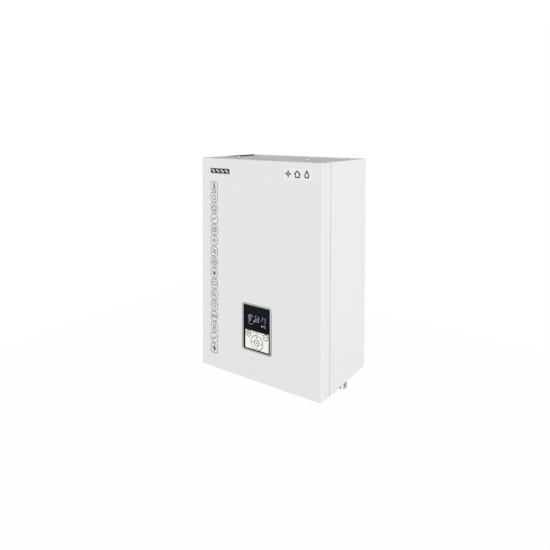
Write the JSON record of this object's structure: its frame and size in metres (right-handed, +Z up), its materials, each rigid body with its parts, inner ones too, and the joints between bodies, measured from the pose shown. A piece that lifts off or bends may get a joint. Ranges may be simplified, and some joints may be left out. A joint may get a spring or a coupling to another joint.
{
  "type": "electric heating boiler",
  "caption": "Wall-hung electric heating boiler: white sheet-steel cabinet with lift-off front cover, display and keypad, pump, heater vessel and pipe tails below.",
  "frame": {"origin": "middle of the hole pattern of the wall bracket, on the wall plane", "axes": "+X to the right seen from the front, +Y into the wall, +Z up"},
  "size_m": [0.46, 0.297, 0.749],
  "materials": {
    "white_enamel": "white powder coat, fine smooth satin",
    "zinc_steel": "zinc-plated sheet steel",
    "bright_steel": "bright zinc-plated fasteners",
    "stainless": "stainless steel, welded and brushed",
    "rod_sheath": "heat-tinted steel sheath",
    "black_rubber": "black rubber, matt",
    "black_silicone": "black silicone wire insulation",
    "red_enamel": "red powder coat",
    "cast_iron": "cast iron with dark cataphoretic coat",
    "motor_paint": "red enamelled motor housing",
    "black_plastic": "black moulded plastic",
    "impeller_plastic": "glass-filled composite",
    "brass": "machined brass",
    "copper": "drawn copper tube",
    "nickel": "nickel-plated brass",
    "red_plastic": "red moulded plastic",
    "light_plastic": "light grey moulded plastic",
    "blue_plastic": "blue moulded plastic",
    "board_green": "green solder resist",
    "satin_frame": "silver-painted plastic frame",
    "black_glass": "glossy black display window",
    "cream_plastic": "cream moulded plastic"
  },
  "bodies": {
    "root": {"wall_bracket": "zinc_steel", "hook_rail": "zinc_steel", "back_panel": "white_enamel", "left_side_panel": "white_enamel", "right_side_panel": "white_enamel", "top_panel": "white_enamel", "bottom_panel": "white_enamel", "seal_strips": "black_rubber", "cover_screws": "bright_steel", "heater_vessel": "stainless", "vessel_clamps": "zinc_steel", "rod_flange": "stainless", "flange_gasket": "black_rubber", "heating_rods": "rod_sheath", "flange_bolts": "bright_steel", "expansion_vessel": "red_enamel", "expansion_bracket": "zinc_steel", "expansion_hose": "black_rubber", "pump_volute": "cast_iron", "pump_motor": "motor_paint", "union_nuts": "brass", "flow_pipe": "copper", "return_pipe": "copper", "pump_outlet_pipe": "copper", "flow_tail": "nickel", "return_tail": "nickel", "safety_valve": "brass", "safety_drain_tube": "light_plastic", "air_vent": "brass", "pressure_sensor": "black_plastic", "temperature_sensor": "brass", "overheat_cutout": "black_plastic", "electronics_plate": "zinc_steel", "din_rail": "bright_steel", "circuit_breaker": "light_plastic", "terminal_block": "light_plastic", "power_board": "board_green", "power_relays": "black_plastic", "heater_wires": "black_silicone", "cable_glands": "black_plastic", "drain_cock": "brass"},
    "cover": {"front_cover": "white_enamel", "panel_frame": "satin_frame", "display_window": "black_glass", "keypad_fascia": "cream_plastic", "panel_housing": "black_plastic", "display_board": "board_green"},
    "ok_key": {"ok_key": "cream_plastic"},
    "up_key": {"up_key": "cream_plastic"},
    "down_key": {"down_key": "cream_plastic"},
    "left_key": {"left_key": "cream_plastic"},
    "right_key": {"right_key": "cream_plastic"},
    "left_soft_key": {"left_soft_key": "cream_plastic"},
    "right_soft_key": {"right_soft_key": "cream_plastic"},
    "pump_impeller": {"pump_impeller": "impeller_plastic"},
    "pump_knob": {"pump_knob": "black_plastic"},
    "safety_valve_cap": {"safety_valve_cap": "red_plastic"},
    "overheat_button": {"overheat_button": "red_plastic"},
    "breaker_lever": {"breaker_lever": "blue_plastic"},
    "drain_handle": {"drain_handle": "blue_plastic"}
  },
  "joints": [
    {"name": "cover_slide", "type": "slide", "parent": "root", "child": "cover", "axis": [0, -1, 0], "range_m": [0, 0.35]},
    {"name": "ok_key_press", "type": "slide", "parent": "cover", "child": "ok_key", "axis": [0, 1, 0], "range_m": [0, 0.0008], "stiffness_N_per_m": 2500, "springref_m": -0.0002},
    {"name": "up_key_press", "type": "slide", "parent": "cover", "child": "up_key", "axis": [0, 1, 0], "range_m": [0, 0.0008], "stiffness_N_per_m": 2500, "springref_m": -0.0002},
    {"name": "down_key_press", "type": "slide", "parent": "cover", "child": "down_key", "axis": [0, 1, 0], "range_m": [0, 0.0008], "stiffness_N_per_m": 2500, "springref_m": -0.0002},
    {"name": "left_key_press", "type": "slide", "parent": "cover", "child": "left_key", "axis": [0, 1, 0], "range_m": [0, 0.0008], "stiffness_N_per_m": 2500, "springref_m": -0.0002},
    {"name": "right_key_press", "type": "slide", "parent": "cover", "child": "right_key", "axis": [0, 1, 0], "range_m": [0, 0.0008], "stiffness_N_per_m": 2500, "springref_m": -0.0002},
    {"name": "left_soft_key_press", "type": "slide", "parent": "cover", "child": "left_soft_key", "axis": [0, 1, 0], "range_m": [0, 0.0008], "stiffness_N_per_m": 2500, "springref_m": -0.0002},
    {"name": "right_soft_key_press", "type": "slide", "parent": "cover", "child": "right_soft_key", "axis": [0, 1, 0], "range_m": [0, 0.0008], "stiffness_N_per_m": 2500, "springref_m": -0.0002},
    {"name": "pump_spin", "type": "hinge", "parent": "root", "child": "pump_impeller", "pos_m": [0.102, -0.102, -0.4735], "axis": [0, -1, 0], "continuous": true},
    {"name": "pump_knob_turn", "type": "hinge", "parent": "root", "child": "pump_knob", "pos_m": [0.102, -0.2, -0.4735], "axis": [0, 1, 0], "range_deg": [0, 120]},
    {"name": "safety_cap_turn", "type": "hinge", "parent": "root", "child": "safety_valve_cap", "pos_m": [0.004, -0.21, -0.3245], "axis": [0, -1, 0], "continuous": true},
    {"name": "overheat_reset", "type": "slide", "parent": "root", "child": "overheat_button", "axis": [0, 1, 0], "range_m": [0, 0.002], "stiffness_N_per_m": 1000, "springref_m": -0.0005},
    {"name": "breaker_throw", "type": "hinge", "parent": "root", "child": "breaker_lever", "pos_m": [0.0855, -0.2605, -0.008], "axis": [1, 0, 0], "range_deg": [0, 50]},
    {"name": "drain_turn", "type": "hinge", "parent": "root", "child": "drain_handle", "pos_m": [-0.0535, -0.192, -0.657], "axis": [0, -1, 0], "range_deg": [0, 90]}
  ]
}
